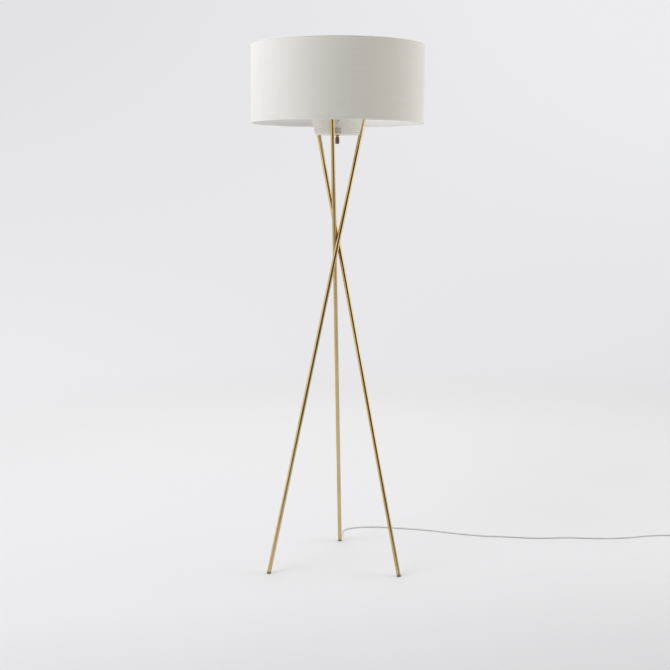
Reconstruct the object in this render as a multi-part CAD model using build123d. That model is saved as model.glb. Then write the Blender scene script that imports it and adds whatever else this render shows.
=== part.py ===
from build123d import *
import os
from math import atan2, cos, degrees, pi, radians, sin, sqrt, tan

# Tripod floor lamp. Three straight brass tubes lean past each other, touch at a waist and spread
# to the floor. Their upper ends hold a perforated cup, a lampholder and a drum shade on a harp.
# Millimetres. The lamp's upright axis is Z, the floor is Z = 0, and the back leg's foot is at +Y.

os.makedirs("parts", exist_ok=True)

# ---- Driving dimensions ----
shade_radius = 250.0
shade_bottom = 1317.5
shade_height = 221.0
cloth_thickness = 0.8
cloth_fold = 6.0
liner_thickness = 0.7
ring_wire_radius = 1.5

leg_radius = 6.0
leg_wall = 1.2
leg_top = 1352.0
waist_height = 973.4
foot_reach = 221.9
back_leg_azimuth = 84.9
braze_gap = 0.1
foot_height = 7.0

cup_bottom = 1285.0
cup_height = 75.0
cup_bottom_radius = 64.2
cup_slope = 0.2267
cup_wall = 1.0

bridge_top = 1345.0
bridge_thickness = 2.0
arm_width = 14.0

switch_knob_radius = 6.0
switch_knob_length = 19.5
switch_knob_bottom = 1259.5

cord_radius = 2.25
cord_on_floor = 2.3
cord_exit_height = 46.0
cord_exit_drop = 40.0
lead_radius = 0.8

# ---- Values that follow from them ----
shade_top = shade_bottom + shade_height
lean = atan2(foot_reach, waist_height)
leg_azimuths = {
    "back": back_leg_azimuth,
    "right": back_leg_azimuth - 120.0,
    "left": back_leg_azimuth + 120.0,
}
leg_bore = leg_radius - leg_wall
cup_top = cup_bottom + cup_height
fit_gap = 0.05
written = {}


# ---- Helpers ----
on_base = (Align.CENTER, Align.CENTER, Align.MIN)


def rod(start, end, radius):
    """A round bar between two points."""
    start, end = Vector(*start), Vector(*end)
    along = end - start
    frame = Plane(origin=start, z_dir=along)
    return frame * Cylinder(radius, along.length, align=on_base)


def disc(z_low, z_high, radius, hole=0.0):
    """A disc, or a ring, about the lamp's axis."""
    height = z_high - z_low
    shape = Cylinder(radius, height, align=on_base)
    if hole > 0:
        shape = shape - Cylinder(hole, height, align=on_base)
    return Pos(0, 0, z_low) * shape


def turned(*outline):
    """A body of revolution about the lamp's axis, from its outline as (radius, height) points."""
    face = make_face(Polyline(*outline, close=True))
    return revolve(Plane.XZ * face, Axis.Z)


def hexagon(z_low, z_high, across_flats, hole):
    """A hexagon nut about the lamp's axis."""
    sketch = RegularPolygon(across_flats / sqrt(3), 6) - Circle(hole)
    return Pos(0, 0, z_low) * extrude(sketch, z_high - z_low)


def bent_wire(points, radii, radius):
    """A round wire along straight runs joined by arcs. Returns the solid and its centre line."""
    path = FilletPolyline(*points, radius=radii)
    section = Plane(origin=path @ 0, z_dir=path % 0) * Circle(radius)
    return sweep(section, path=path), path


def write(name, *solids):
    """One node: a single solid, or a group of separate identical ones."""
    flat = []
    for item in solids:
        flat.extend(item.solids())
    shape = flat[0] if len(flat) == 1 else Compound(children=flat)
    export_step(shape, f"parts/{name}.step")
    written[name] = sum(solid.volume for solid in flat)


def polar(radius, azimuth, z):
    """A point from its distance to the lamp's axis, its azimuth in degrees and its height."""
    return Vector(radius * cos(radians(azimuth)), radius * sin(radians(azimuth)), z)


# ---- The three legs' centre lines ----
def outward(azimuth):
    return Vector(cos(radians(azimuth)), sin(radians(azimuth)), 0)


def leg_direction(azimuth):
    """Unit vector up a leg. It leans away from its foot's side."""
    return outward(azimuth) * -sin(lean) + Vector(0, 0, cos(lean))


def waist_offset_for(gap):
    """How far each centre line stays off the lamp's axis, for tubes that all but touch."""
    first, second = 0.0, 120.0
    across = leg_direction(first).cross(leg_direction(second)).normalized()
    apart = outward(second + 90) - outward(first + 90)
    return (2 * leg_radius + gap) / abs(apart.dot(across))


waist_offset = waist_offset_for(braze_gap)


def leg_point(azimuth, z):
    """The point of a leg's centre line at a height."""
    at_waist = outward(azimuth + 90) * waist_offset + Vector(0, 0, waist_height)
    return at_waist + leg_direction(azimuth) * ((z - waist_height) / cos(lean))


def nearest_points(first, second):
    """Where two centre lines pass closest to each other: a point on each."""
    a, b = leg_point(first, waist_height), leg_point(second, waist_height)
    u, v = leg_direction(first), leg_direction(second)
    apart = a - b
    uv = u.dot(v)
    spread = 1 - uv * uv
    along_u = (uv * v.dot(apart) - u.dot(apart)) / spread
    along_v = (v.dot(apart) - uv * u.dot(apart)) / spread
    return a + u * along_u, b + v * along_v


leg_pairs = [("back", "right"), ("right", "left"), ("left", "back")]
contacts = {}
for pair in leg_pairs:
    contacts[pair] = nearest_points(leg_azimuths[pair[0]], leg_azimuths[pair[1]])


# ---- Pins and brazing that join the legs where they touch ----
pin_radius = 1.5
pin_reach = leg_wall + 1.0
braze_radius = 3.0
braze_depth = 2.4
braze_split = 2 * pin_radius + 0.4
near_waist = 40.0
skin_gap = 0.02
pin_solids = []
braze_solids = []
for first, second in leg_pairs:
    low, high = contacts[(first, second)]
    across = (high - low).normalized()
    middle = (low + high) * 0.5
    half_pin = pin_reach + braze_gap / 2
    pin_solids.append(rod(middle - across * half_pin, middle + across * half_pin, pin_radius))
    between = leg_direction(leg_azimuths[first]) + leg_direction(leg_azimuths[second])
    frame = Plane(origin=middle, x_dir=between, z_dir=across)
    bead = frame * Cylinder(braze_radius, braze_depth)
    bead = bead - frame * Box(4 * braze_radius, braze_split, 2 * braze_depth)
    for name in (first, second):
        low_end = leg_point(leg_azimuths[name], waist_height - near_waist)
        high_end = leg_point(leg_azimuths[name], waist_height + near_waist)
        bead = bead - rod(low_end, high_end, leg_radius + skin_gap)
    braze_solids.append(bead)
write("waist_pins", *pin_solids)
write("waist_brazing", *braze_solids)


# ---- Screws that hold the cup and its bridge to the legs ----
screw_height = 1336.0
screw_radius = 1.95
screw_bore = 2.0
screw_clearance = 2.2
screw_head_radius = 3.6
screw_head_height = 2.4
screw_slot_width = 1.0
insert_radius = 3.2
insert_flange_radius = 4.5
insert_flange = 0.7
insert_depth = 3.3
cup_stand_off = 0.7
insert_seat = leg_radius + insert_flange
head_seat = insert_seat + cup_stand_off + cup_wall + bridge_thickness


def screw_frame(azimuth):
    """At a leg's centre line, with Z square to the leg and towards the lamp's axis."""
    centre = leg_point(azimuth, screw_height)
    inwards = Vector(-centre.X, -centre.Y, 0)
    along = leg_direction(azimuth)
    inwards = (inwards - along * inwards.dot(along)).normalized()
    return Plane(origin=centre, x_dir=along, z_dir=inwards)


def on(frame, z_low, z_high, radius, hole=0.0):
    """A disc or ring on a frame's own Z axis."""
    return frame * disc(z_low, z_high, radius, hole)


insert_solids = []
screw_solids = []
screw_shank_holes = []
for azimuth in leg_azimuths.values():
    frame = screw_frame(azimuth)
    insert = on(frame, leg_radius - insert_depth, leg_radius, insert_radius, screw_bore)
    insert = insert + on(frame, leg_radius, insert_seat, insert_flange_radius, screw_bore)
    insert_solids.append(insert)
    shank = on(frame, leg_radius - insert_depth, head_seat, screw_radius)
    head = on(frame, head_seat, head_seat + screw_head_height, screw_head_radius)
    slot = Box(3 * screw_head_radius, screw_slot_width, screw_head_height * 5 / 6)
    slot = frame * (Pos(0, 0, head_seat + screw_head_height) * slot)
    screw_solids.append(shank + head - slot)
    screw_shank_holes.append(on(frame, leg_radius + 0.2, head_seat + 1.0, screw_clearance))
write("leg_inserts", *insert_solids)
write("cup_screws", *screw_solids)


# ---- Cord's way into the back leg, and its strain relief ----
back = leg_azimuths["back"]
exit_corner = leg_point(back, cord_exit_height)
exit_way = outward(back) * cos(radians(cord_exit_drop)) - Vector(0, 0, sin(radians(cord_exit_drop)))
relief_wide_radius = 4.4
relief_narrow_radius = 2.9
relief_neck_radius = 3.1
relief_neck_low, relief_neck_high = 7.5, 12.0
relief_start = 8.0
relief_length = 25.0
relief_end = exit_corner + exit_way * (relief_start + relief_length)
relief_middle = exit_corner + exit_way * (relief_start + relief_length / 2)
relief_frame = Plane(origin=exit_corner, z_dir=exit_way)


def lower_back_leg(radius):
    """A bar on the back leg's centre line, along the stretch round the cord's exit."""
    return rod(leg_point(back, 5.0), leg_point(back, 95.0), radius)


sleeve = Cone(relief_wide_radius, relief_narrow_radius, relief_length)
sleeve = relief_frame * (Pos(0, 0, relief_start + relief_length / 2) * sleeve)
sleeve = sleeve - lower_back_leg(leg_radius + skin_gap)
neck = on(relief_frame, relief_neck_low, relief_neck_high, relief_neck_radius)
neck = neck & lower_back_leg(leg_radius + 0.5)
relief = sleeve + neck
relief = relief - on(relief_frame, 0.0, 2 * relief_length, cord_radius + fit_gap)
relief = relief - lower_back_leg(leg_bore)
write("cord_relief", relief)


# ---- Legs, feet and top plugs ----
foot_stem = 14.0
foot_block = 60.0
plug_stem = 9.0
plug_cap = 2.0
top_plugs = []
for name, azimuth in leg_azimuths.items():
    low, high = leg_point(azimuth, foot_height), leg_point(azimuth, leg_top)
    tube = rod(low, high, leg_radius) - rod(low, high, leg_bore)
    for pair in leg_pairs:
        if name in pair:
            near, far = contacts[pair] if pair[0] == name else contacts[pair][::-1]
            tube = tube - rod(near, near + (far - near) * 0.6, pin_radius + fit_gap)
    frame = screw_frame(azimuth)
    tube = tube - on(frame, 0.0, 2 * leg_radius, insert_radius + fit_gap)
    if name == "back":
        tube = tube - on(relief_frame, 0.0, 20.0, relief_neck_radius + fit_gap)
    write(f"{name}_leg", tube)

    along = leg_direction(azimuth)
    stem = rod(low, low + along * foot_stem, leg_bore - fit_gap)
    tip = rod(low - along * 2 * foot_height, low, leg_radius)
    above_floor = Box(foot_block, foot_block, foot_block, align=on_base)
    write(f"{name}_foot", (stem + tip) & (Pos(low.X, low.Y, 0) * above_floor))

    stem = rod(high - along * plug_stem, high, leg_bore - fit_gap)
    cap = rod(high, high + along * plug_cap, leg_radius)
    plug = stem + cap
    if name == "back":
        plug = plug - rod(high - along * 2 * plug_stem, high + along * 2 * plug_stem, cord_radius + 0.1)
        write("back_leg_bushing", plug)
    else:
        top_plugs.append(plug)
write("leg_top_plugs", *top_plugs)


# ---- Perforated cup under the lampholder, and the bridge across it ----
def cup_radius(z):
    """The cup's outer radius at a height."""
    return cup_bottom_radius + cup_slope * (z - cup_bottom)


cup_lip = 3.0
bushing_radius = 5.0
cup = turned(
    (bushing_radius + 0.1, cup_bottom),
    (cup_radius(cup_bottom), cup_bottom),
    (cup_radius(cup_top), cup_top),
    (cup_radius(cup_top) - cup_lip, cup_top),
    (cup_radius(cup_top) - cup_lip, cup_top - cup_wall),
    (cup_radius(cup_top - cup_wall) - cup_wall, cup_top - cup_wall),
    (cup_radius(cup_bottom + cup_wall) - cup_wall, cup_bottom + cup_wall),
    (bushing_radius + 0.1, cup_bottom + cup_wall),
)
for hole in screw_shank_holes:
    cup = cup - hole
write("perforated_cup", cup)

# The bridge: a hub with three arms whose bent ends lie against the cup's wall.
hub_radius = 22.0
tab_length = 17.0
arm_reach = 120.0
nipple_radius = 4.8
bridge_bottom = bridge_top - bridge_thickness
wall_gap = cup_wall + 0.15
tab_bottom = bridge_top - tab_length
rim = turned(
    (cup_radius(tab_bottom) - wall_gap - bridge_thickness, tab_bottom),
    (cup_radius(tab_bottom) - wall_gap, tab_bottom),
    (cup_radius(bridge_top) - wall_gap, bridge_top),
    (cup_radius(bridge_top) - wall_gap - bridge_thickness, bridge_top),
)
plate = disc(bridge_bottom, bridge_top, cup_radius(bridge_bottom) - wall_gap - 0.1)
bridge = disc(bridge_bottom, bridge_top, hub_radius)
for azimuth in leg_azimuths.values():
    centre = leg_point(azimuth, screw_height)
    turn = degrees(atan2(centre.Y, centre.X))
    strip = Box(arm_reach, arm_width, 4 * tab_length, align=(Align.MIN, Align.CENTER, Align.CENTER))
    strip = Pos(0, 0, bridge_top) * Rot(0, 0, turn) * strip
    bridge = bridge + (strip & plate) + (strip & rim)
bridge = bridge - disc(bridge_bottom - 1, bridge_top + 1, nipple_radius + fit_gap)
for hole in screw_shank_holes:
    bridge = bridge - hole
write("bridge", bridge)

# ---- Threaded nipple and what is clamped on it ----
nipple_bottom = 1334.0
saddle_thickness = 1.6
saddle_top = bridge_top + saddle_thickness
nipple_bore = 3.3
nipple_top = saddle_top + 12.0
write("nipple", disc(nipple_bottom, nipple_top, nipple_radius, nipple_bore))
lock_washer = 1.0
nut_height = 4.5
nut_across_flats = 14.0
small_washer_radius = 8.0
nut_top = bridge_bottom - lock_washer
nipple_hole = nipple_radius + fit_gap
write("nipple_washer", disc(nut_top, bridge_bottom, small_washer_radius, nipple_hole))
write("nipple_nut", hexagon(nut_top - nut_height, nut_top, nut_across_flats, nipple_hole))

# ---- Harp: a saddle under the lampholder, a bow of wire, and a threaded seat for the shade ----
harp_wire = 1.6
harp_foot = 27.0
harp_belly = 55.0
harp_seat = 1521.0
ferrule_low, ferrule_high = bridge_top + 9.0, bridge_top + 22.0
ferrule_radius = 3.4
saddle_width = 12.0
saddle_post_high = ferrule_low + 10.0
saddle_post_radius = 2.0
saddle = Box(2 * harp_foot, saddle_width, saddle_thickness, align=on_base)
saddle = Pos(0, 0, bridge_top) * saddle
saddle = saddle - disc(bridge_top - 1, saddle_top + 1, nipple_hole)
for side in (-1, 1):
    x = side * harp_foot
    saddle = saddle + rod((x, 0, bridge_top), (x, 0, saddle_post_high), saddle_post_radius)
write("harp_saddle", saddle)

# The bow rises straight from its ferrules, swells round the bulb and closes under its seat.
harp_crown = harp_seat - 2 * harp_wire
harp_points = [
    (harp_foot, 0, saddle_post_high + 0.2),
    (harp_foot, 0, ferrule_high + 18.0),
    (harp_belly, 0, ferrule_high + 62.0),
    (harp_belly - 3.0, 0, ferrule_high + 112.0),
    (22.0, 0, harp_crown),
]
harp_left = [(-x, y, z) for x, y, z in reversed(harp_points)]
harp_bend = 16.0
bow, bow_line = bent_wire(harp_points + harp_left, [harp_bend] * 8, harp_wire)
write("harp_bow", bow)
ferrules = []
for side in (-1, 1):
    x = side * harp_foot
    post_end = (x, 0, saddle_post_high + 0.1)
    sleeve = rod((x, 0, ferrule_low), (x, 0, ferrule_high), ferrule_radius)
    sleeve = sleeve - rod((x, 0, ferrule_low), post_end, saddle_post_radius + fit_gap)
    sleeve = sleeve - rod((x, 0, saddle_post_high), (x, 0, ferrule_high), harp_wire + fit_gap)
    ferrules.append(sleeve)
write("harp_ferrules", *ferrules)
stud_radius = 3.1
stud_top = harp_seat + 15.0
seat_radius = 8.0
seat_disc = disc(harp_crown + harp_wire, harp_seat, seat_radius)
write("harp_stud", seat_disc + disc(harp_seat, stud_top, stud_radius))

# ---- Lampholder ----
holder = saddle_top
cap_hub = 7.5
holder_cap = turned(
    (nipple_hole, holder),
    (cap_hub, holder),
    (cap_hub, holder + 7.0),
    (13.0, holder + 10.0),
    (16.5, holder + 15.0),
    (16.5, holder + 24.0),
    (15.8, holder + 24.0),
    (15.8, holder + 15.4),
    (12.6, holder + 11.0),
    (cap_hub - 1.0, holder + 7.8),
    (nipple_hole, holder + 7.8),
)
write("lampholder_cap", holder_cap)
shell_low, shell_top = holder + 16.0, holder + 58.0
shell_radius, shell_bore = 15.7, 15.0
liner_radius, liner_bore = 14.9, 14.2
write("lampholder_shell", disc(shell_low, shell_top, shell_radius, shell_bore))
write("lampholder_liner", disc(shell_low, shell_top - 1.5, liner_radius, liner_bore))
core_low, core_high = holder + 14.0, holder + 28.0
core_radius = 13.4
wire_slot = Box(9.0, 4.0, core_high - core_low, align=on_base)
write("lampholder_core", disc(core_low, core_high, core_radius) - Pos(0, 0, core_low) * wire_slot)
screw_shell_radius = core_radius + 0.5
screw_shell_top = core_high + 24.0
write("screw_shell", disc(core_high, screw_shell_top, screw_shell_radius, core_radius))
contact_top = core_high + 1.2
contact_radius = 4.0
write("centre_contact", disc(core_high, contact_top, contact_radius))
terminal_height = core_low + 6.0
terminal_radius = 2.6
terminals = []
for side in (-1, 1):
    inner_face = (side * (core_radius + fit_gap), 0, terminal_height)
    outer_face = (side * (core_radius + 0.45), 0, terminal_height)
    terminals.append(rod(inner_face, outer_face, terminal_radius))
write("terminal_screws", *terminals)

# ---- Bulb ----
bulb_low = contact_top + 0.1
bulb_contact_top = bulb_low + 1.5
bulb_contact_radius = 4.5
bulb_insulator_radius = 11.0
bulb_cap_low = bulb_low + 4.0
bulb_cap_high = bulb_low + 26.0
bulb_cap_radius = 13.1
bulb_neck = 12.4
bulb_radius = 30.0
bulb_top = bulb_low + 108.0
neck_low = bulb_cap_low + 4.0
neck_high = bulb_cap_high + 3.0
globe_middle = bulb_top - bulb_radius
write("bulb_contact", disc(bulb_low, bulb_contact_top, bulb_contact_radius))
write("bulb_insulator", turned(
    (0, bulb_contact_top),
    (bulb_contact_radius, bulb_contact_top),
    (bulb_insulator_radius, bulb_cap_low),
    (0, bulb_cap_low),
))
write("bulb_screw_cap", disc(bulb_cap_low, bulb_cap_high, bulb_cap_radius, bulb_neck + fit_gap))


def globe_outline(inset):
    """Half of the globe's outline, from the neck to the crown."""
    neck = bulb_neck - inset
    ball = bulb_radius - inset
    low = Line((neck, neck_low), (neck, neck_high))
    side = Spline(
        (neck, neck_high), (ball, globe_middle),
        tangents=[(0, 1), (0, 1)], tangent_scalars=[1.0, 0.9])
    crown = RadiusArc((ball, globe_middle), (0, globe_middle + ball), -ball)
    return low, side, crown


glass = 1.0
outer = globe_outline(0.0)
inner = globe_outline(glass)
rim = Line((bulb_neck, neck_low), (bulb_neck - glass, neck_low))
pole = Line((0, bulb_top), (0, bulb_top - glass))
globe_face = make_face([*outer, pole, *inner, rim])
write("bulb_globe", revolve(Plane.XZ * globe_face, Axis.Z))
post_top = globe_middle + 6.0
post_base_high = bulb_cap_high - 2.0
post_base_radius, post_radius = 10.5, 3.0
filament_post = disc(bulb_cap_low + 0.1, post_base_high, post_base_radius)
filament_post = filament_post + disc(post_base_high, post_top, post_radius)
write("bulb_filament_post", filament_post)
filament_radius = 1.2
filament_low = bulb_cap_high + 10.0
filaments = []
for azimuth in (45.0, 135.0, 225.0, 315.0):
    foot = polar(5.0, azimuth, filament_low)
    head = polar(7.0, azimuth, post_top)
    filaments.append(rod(foot, head, filament_radius))
write("bulb_filaments", *filaments)

# ---- Rotary switch on the cup's floor ----
knob_top = switch_knob_bottom + switch_knob_length
shaft_radius = 3.0
shaft_low = knob_top - 12.0
bushing_low = knob_top + 0.4
body_low = cup_bottom + cup_wall + 1.0
body_high = body_low + 19.0
body_radius, body_bore = 11.0, 9.0
knob_chamfer = 0.6
groove_inset, groove_width, groove_depth = 3.2, 1.0, 0.5
flute_count, flute_radius, flute_inset = 24, 0.5, 4.2
knob = disc(switch_knob_bottom, knob_top, switch_knob_radius)
knob = chamfer(knob.edges().filter_by(GeomType.CIRCLE), knob_chamfer)
for z in (switch_knob_bottom + groove_inset, knob_top - groove_inset):
    groove_floor = switch_knob_radius - groove_depth
    half_width = groove_width / 2
    knob = knob - disc(z - half_width, z + half_width, switch_knob_radius + 1, groove_floor)
for index in range(flute_count):
    azimuth = index * 360.0 / flute_count
    low_end = polar(switch_knob_radius + 0.15, azimuth, switch_knob_bottom + flute_inset)
    high_end = polar(switch_knob_radius + 0.15, azimuth, knob_top - flute_inset)
    knob = knob - rod(low_end, high_end, flute_radius)
knob = knob - disc(shaft_low, knob_top, shaft_radius + skin_gap)
write("switch_knob", knob)

rotor_low, rotor_high = body_low + 4.0, body_low + 12.0
rotor_radius, rotor_width = 7.5, 10.0
write("switch_shaft", disc(shaft_low, rotor_high, shaft_radius))
rotor = disc(rotor_low, rotor_high, rotor_radius, shaft_radius + skin_gap)
rotor = rotor & Pos(0, 0, rotor_low) * Box(2 * rotor_radius, rotor_width, 2 * rotor_radius + 5)
write("switch_rotor", rotor)

switch_nut_height, switch_nut_flats = 2.4, 12.0
bushing_hole = bushing_radius + fit_gap
nut_low = cup_bottom - switch_nut_height
write("switch_bushing", disc(bushing_low, body_low, bushing_radius, shaft_radius + fit_gap))
write("switch_washer", disc(cup_bottom + cup_wall, body_low, small_washer_radius, bushing_hole))
write("switch_nut", hexagon(nut_low, cup_bottom, switch_nut_flats, bushing_hole))
housing = disc(body_low, body_high, body_radius, body_bore)
housing = housing + disc(body_low, body_low + 2.0, body_radius, shaft_radius + fit_gap)
housing = housing + disc(body_high - 3.0, body_high, body_radius)
write("switch_body", housing)
contact_width, contact_thickness, contact_height = 5.0, 0.9, 12.0
contact_offset = body_bore - contact_thickness
contact_blades = []
for side in (-1, 1):
    blade = Box(contact_width, contact_thickness, contact_height)
    contact_blades.append(Pos(0, side * contact_offset, body_low + 9.0) * blade)
write("switch_contacts", *contact_blades)

# ---- Shade: two wire rings, three spokes, a washer, a liner and its cloth ----
washer_low = harp_seat + 0.1
washer_high = washer_low + 1.6
shade_washer_radius = 14.0
liner_outer = shade_radius - cloth_thickness - 0.1
liner_inner = liner_outer - liner_thickness
ring_radius = liner_inner - 0.1 - ring_wire_radius
fold_outer = ring_radius - ring_wire_radius - 0.1
fold_inner = fold_outer - cloth_thickness
cloth_inner = shade_radius - cloth_thickness
spoke_height = washer_high + ring_wire_radius
spoke_azimuths = [90.0, 210.0, 330.0]
spoke_start = 7.5
spoke_knee = 214.0
spoke_bends = [12.0, 8.0]
notch_gap = 0.3
top_ring_height = shade_top - cloth_thickness - 0.1 - ring_wire_radius
bottom_ring_height = shade_bottom + cloth_thickness + 0.1 + ring_wire_radius
write("shade_top_ring", Pos(0, 0, top_ring_height) * Torus(ring_radius, ring_wire_radius))
write("shade_bottom_ring", Pos(0, 0, bottom_ring_height) * Torus(ring_radius, ring_wire_radius))
write("shade_washer", disc(washer_low, washer_high, shade_washer_radius, stud_radius + 0.25))
spokes = []
notches = []
for azimuth in spoke_azimuths:
    points = [
        polar(spoke_start, azimuth, spoke_height),
        polar(spoke_knee, azimuth, spoke_height),
        polar(ring_radius - 2 * ring_wire_radius - 4, azimuth, top_ring_height),
        polar(ring_radius - ring_wire_radius - skin_gap, azimuth, top_ring_height),
    ]
    spokes.append(bent_wire(points, spoke_bends, ring_wire_radius)[0])
    notch_end = polar(ring_radius, azimuth, top_ring_height)
    notches.append(rod(points[2], notch_end, ring_wire_radius + notch_gap))
write("shade_spokes", *spokes)
liner_inset = 1.0
write("shade_liner", disc(
    shade_bottom + liner_inset, shade_top - liner_inset, liner_outer, liner_inner))
cloth = turned(
    (shade_radius, shade_bottom),
    (shade_radius, shade_top),
    (fold_inner, shade_top),
    (fold_inner, shade_top - cloth_fold),
    (fold_outer, shade_top - cloth_fold),
    (fold_outer, shade_top - cloth_thickness),
    (cloth_inner, shade_top - cloth_thickness),
    (cloth_inner, shade_bottom + cloth_thickness),
    (fold_outer, shade_bottom + cloth_thickness),
    (fold_outer, shade_bottom + cloth_fold),
    (fold_inner, shade_bottom + cloth_fold),
    (fold_inner, shade_bottom),
)
for notch in notches:
    cloth = cloth - notch
write("shade_cloth", cloth)

# ---- Finial ----
finial_low = washer_high + 0.1
finial_top = finial_low + 21.0
finial = turned(
    (0, finial_low), (6.0, finial_low), (6.0, finial_low + 3.0), (4.4, finial_low + 4.2),
    (4.4, finial_low + 6.0), (6.6, finial_low + 8.4), (7.6, finial_low + 12.0),
    (6.9, finial_low + 16.0), (4.6, finial_low + 19.6), (0, finial_top),
)
finial = finial - disc(finial_low, stud_top + 0.5, stud_radius + fit_gap)
write("finial", finial)

# ---- Cord inside the back leg and over the cup's rim ----
over_rim = leg_point(back, leg_top + 20.0)
over_turn = degrees(atan2(over_rim.Y, over_rim.X))
over_reach = sqrt(over_rim.X ** 2 + over_rim.Y ** 2)
exit_bend = 13.5
inner_bend = 13.0
drop_reach = over_reach - 30.5
beside = outward(over_turn + 90)
past_arm = beside * 12.0
cord_end_height = 1330.0
cord_end = polar(drop_reach, over_turn, cord_end_height) + past_arm
inner_points = [
    relief_middle,
    exit_corner,
    over_rim,
    polar(drop_reach, over_turn, over_rim.Z) + past_arm,
    cord_end,
]
inner_bends = [exit_bend, inner_bend, inner_bend]
inner_cord, inner_line = bent_wire(inner_points, inner_bends, cord_radius)
write("leg_cord", inner_cord)

# ---- Single leads between the cord, the switch and the lampholder ----
lead_side = 1.3
lead_bend = 6.0
live_bend = 10.0
under_nipple = 1314.0
core_terminal = core_low + 3.0


def lead(points, radii):
    """A single insulated lead."""
    return bent_wire(points, radii, lead_radius)[0]


neutral_start = cord_end + beside * lead_side
neutral_low = Vector(neutral_start.X, neutral_start.Y, under_nipple)
neutral_foot = Vector(lead_side * beside.X, lead_side * beside.Y, under_nipple)
neutral_lead = lead(
    [neutral_start, neutral_low, neutral_foot, Vector(neutral_foot.X, neutral_foot.Y, core_terminal)],
    [lead_bend, lead_bend])
live_height = body_low + 13.5
live_start = cord_end - beside * lead_side
live_low = Vector(live_start.X, live_start.Y, live_height)
live_foot = outward(over_turn) * body_radius - beside * lead_side
live_lead = lead([live_start, live_low, Vector(live_foot.X, live_foot.Y, live_height)], [live_bend])
switched_foot = beside * -lead_side
switched_lead = rod(
    (switched_foot.X, switched_foot.Y, body_high),
    (switched_foot.X, switched_foot.Y, core_terminal), lead_radius)
write("neutral_lead", neutral_lead)
write("live_lead", live_lead)
write("switched_lead", switched_lead)
crimp_low, crimp_high = cord_end_height - 8.5, cord_end_height - 1.5
crimp_radius = 1.25
crimps = []
for start in (neutral_start, live_start):
    low, high = Vector(start.X, start.Y, crimp_low), Vector(start.X, start.Y, crimp_high)
    crimps.append(rod(low, high, crimp_radius) - rod(low, high, lead_radius + 0.03))
write("crimp_sleeves", *crimps)

# ---- Cord on the floor: laid by hand, then a coil and the plug ----
coil_centre = Vector(1172.0, 261.9, 0)
coil_outer_turn = 27.3
coil_inner_turn = 22.7
coil_layer = 4.6
coil_turns = 4.25
coil_start = Vector(coil_centre.X, coil_centre.Y + coil_outer_turn, cord_on_floor)
floor_route = [
    (17.0, 256.0, 9.5),
    (19.0, 281.0, 3.6),
    (20.5, 308.0, cord_on_floor),
    (26.0, 334.0, cord_on_floor),
    (44.0, 352.5, cord_on_floor),
    (71.0, 363.5, cord_on_floor),
    (104.0, 369.5, cord_on_floor),
    (146.0, 369.0, cord_on_floor),
    (198.0, 357.5, cord_on_floor),
    (254.0, 347.5, cord_on_floor),
    (309.0, 335.0, cord_on_floor),
    (361.0, 312.5, cord_on_floor),
    (416.0, 292.0, cord_on_floor),
    (470.0, 275.0, cord_on_floor),
    (527.0, 267.5, cord_on_floor),
    (587.0, 260.5, cord_on_floor),
    (644.0, 250.5, cord_on_floor),
    (700.0, 253.0, cord_on_floor),
    (757.0, 260.5, cord_on_floor),
    (814.0, 252.5, cord_on_floor),
    (868.0, 250.5, cord_on_floor),
    (923.0, 254.5, cord_on_floor),
    (976.0, 267.0, cord_on_floor),
    (1030.0, 284.5, cord_on_floor),
    (1085.0, 288.5, cord_on_floor),
    (1132.0, 287.5, cord_on_floor),
]
floor_points = [relief_middle, relief_end + exit_way * 2.0]
floor_points = floor_points + [Vector(*point) for point in floor_route] + [coil_start]


def widest_arcs(points):
    """One radius for each corner: 0.45 of its shorter run over the tangent of half its turn."""
    radii = []
    for before, here, after in zip(points, points[1:], points[2:]):
        arrive, leave = here - before, after - here
        turn = radians(arrive.get_angle(leave))
        radii.append(0.45 * min(arrive.length, leave.length) / tan(turn / 2))
    return radii


floor_radii = widest_arcs(floor_points)
floor_cord, floor_line = bent_wire(floor_points, floor_radii, cord_radius)
coil_top = fit_gap + 2 * coil_layer
coil = disc(fit_gap, coil_top, coil_outer_turn + cord_radius, coil_inner_turn - cord_radius)
write("cord_coil", Pos(coil_centre.X, coil_centre.Y, 0) * coil)
outer_turns, inner_turns = coil_turns / 2 + 0.125, coil_turns / 2 - 0.125
coil_length = 2 * pi * (coil_outer_turn * outer_turns + coil_inner_turn * inner_turns)

# The plug lies flat beside the coil, level with the coil's upper layer of turns.
tail_height = cord_on_floor + coil_layer
tail_start = Vector(coil_centre.X + coil_outer_turn, coil_centre.Y, tail_height)
tail_length = 34.0
tail_end = tail_start - Vector(0, tail_length, 0)
plug_tail = rod(tail_start, tail_end, cord_radius)
write("floor_cord", floor_cord, plug_tail)
plug_relief_length = 22.0
plug_relief_back, plug_relief_front = 3.3, 5.2
cord_in_relief = 6.0
plug_body_length, plug_width, plug_thickness = 28.0, 25.0, 13.7
plug_corner, plug_edge = 6.0, 2.0
relief_back = tail_end + Vector(0, cord_in_relief, 0)
relief_front = relief_back - Vector(0, plug_relief_length, 0)
relief_plane = Plane(origin=(relief_back + relief_front) * 0.5, z_dir=(0, -1, 0))
plug_relief = relief_plane * Cone(plug_relief_back, plug_relief_front, plug_relief_length)
plug_relief = plug_relief - rod(relief_back, tail_end - Vector(0, 0.1, 0), cord_radius + skin_gap)
write("plug_relief", plug_relief)
body_centre = relief_front - Vector(0, plug_body_length / 2, 0)
plug_body = Pos(*body_centre) * Box(plug_width, plug_body_length, plug_thickness)
plug_body = fillet(plug_body.edges().filter_by(Axis.Z), plug_corner)
plug_body = fillet(plug_body.faces().sort_by(Axis.Z)[-1].edges(), plug_edge)
write("plug_body", plug_body)

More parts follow.
